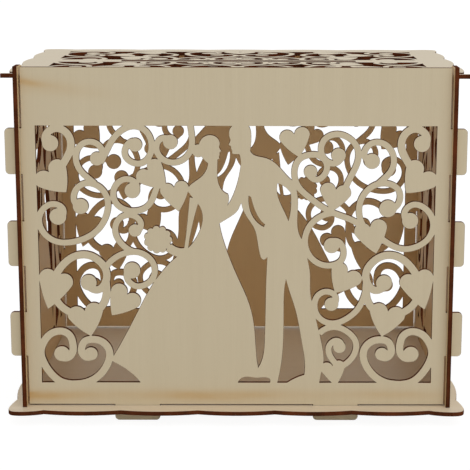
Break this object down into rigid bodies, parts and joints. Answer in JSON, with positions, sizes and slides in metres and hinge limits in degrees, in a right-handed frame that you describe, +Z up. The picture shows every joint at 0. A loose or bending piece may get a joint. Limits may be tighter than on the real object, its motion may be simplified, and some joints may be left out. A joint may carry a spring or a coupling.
{
  "type": "wedding card box",
  "caption": "Rectangular fretwork plywood card box of slotted sheets with a bridal couple, scrolls and hearts, scalloped base and a peg-hinged lid with a card slot.",
  "frame": {"origin": "middle of the box in plan, on the floor under the tab ends that the box stands on", "axes": "+X to the box's right seen from the front, -Y towards the front, +Z up"},
  "size_m": [0.324, 0.2396, 0.2507],
  "materials": {
    "plywood": "matte raw plywood with darker cut edges"
  },
  "bodies": {
    "box": {"base_plate": "plywood", "front_panel": "plywood", "back_panel": "plywood", "left_panel": "plywood", "right_panel": "plywood"},
    "lid": {"lid": "plywood"}
  },
  "joints": [
    {"name": "lid_hinge", "type": "hinge", "parent": "box", "child": "lid", "pos_m": [0, -0.0895, 0.2426], "axis": [1, 0, 0], "range_deg": [0, 125]}
  ]
}
